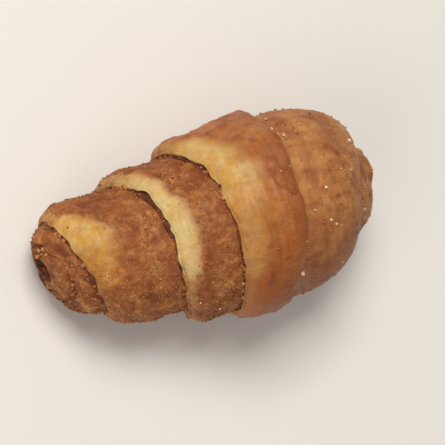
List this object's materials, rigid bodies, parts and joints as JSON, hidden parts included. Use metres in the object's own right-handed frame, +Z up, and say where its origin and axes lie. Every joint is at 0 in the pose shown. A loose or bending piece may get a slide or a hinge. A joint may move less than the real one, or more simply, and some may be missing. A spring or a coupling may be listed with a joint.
{
  "type": "cinnamon rugelach",
  "caption": "Rolled pastry: a wedge of dough wound round cinnamon filling, slim at one end and plump at the other, with stepped wraps.",
  "frame": {"origin": "middle of the bounding box, at its bottom, on the surface that the roll rests on", "axes": "+X along the roll from its slim tail to its plump head, +Z up"},
  "size_m": [0.0492, 0.028, 0.0238],
  "materials": {
    "dough": "baked pastry, egg-washed brown with paler cut edges",
    "cinnamon_filling": "dark, grainy cinnamon and sugar",
    "cinnamon_sugar": "loose cinnamon sugar and crumbs"
  },
  "bodies": {
    "root": {"dough": "dough", "cinnamon_filling": "cinnamon_filling"}
  },
  "joints": []
}
